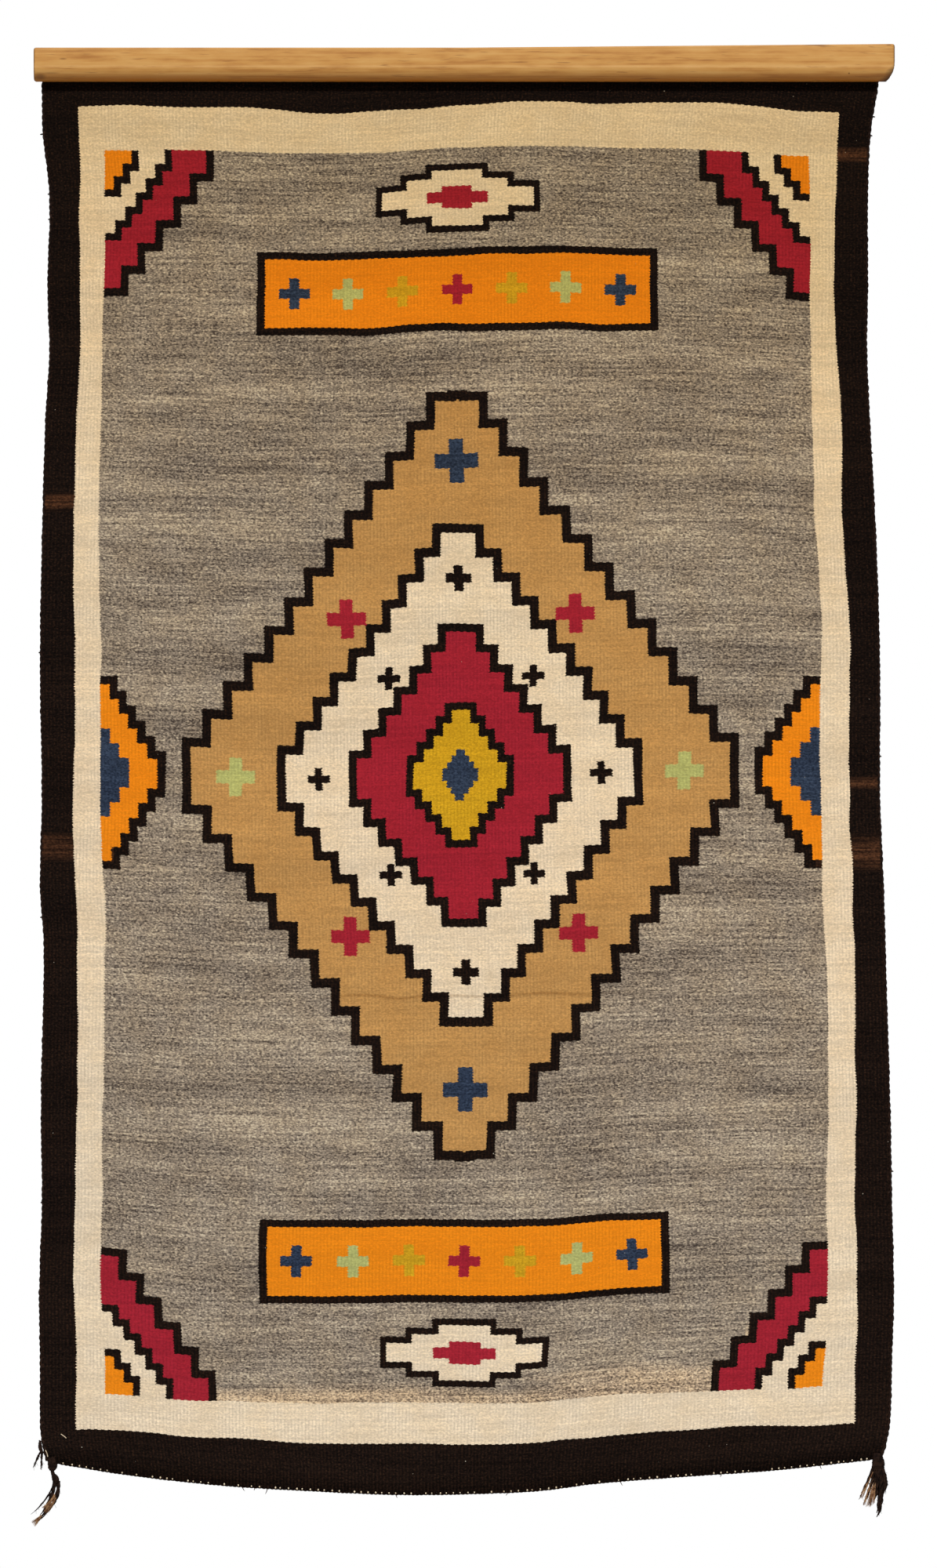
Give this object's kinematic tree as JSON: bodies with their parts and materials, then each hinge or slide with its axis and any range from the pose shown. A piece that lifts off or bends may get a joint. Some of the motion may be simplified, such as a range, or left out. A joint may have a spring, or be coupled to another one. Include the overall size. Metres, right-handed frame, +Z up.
{
  "type": "woven rug on hanging bar",
  "caption": "Flat-woven wool rug with a bordered geometric design, hung from a plain rounded wooden bar, with edge cords and corner tassels.",
  "frame": {"origin": "middle of the bar's flat back, where it lies against the wall", "axes": "+Z up, +Y towards the wall and out of the bar's back, +X to the right seen from the front"},
  "size_m": [0.9354, 0.022, 1.6024],
  "materials": {
    "wool_weave": "weft-faced ribbed wool, heathered grey field with cream and dark borders",
    "dark_wool": "twisted dark brown wool yarn",
    "bare_wood": "bare planed softwood, slightly worn"
  },
  "bodies": {
    "root": {"rug": "wool_weave", "side_cord_left": "dark_wool", "side_cord_right": "dark_wool", "end_cord_bottom": "dark_wool", "corner_tassel_left": "dark_wool", "corner_tassel_right": "dark_wool", "side_cord_tie": "dark_wool", "hanging_bar": "bare_wood"}
  },
  "joints": []
}
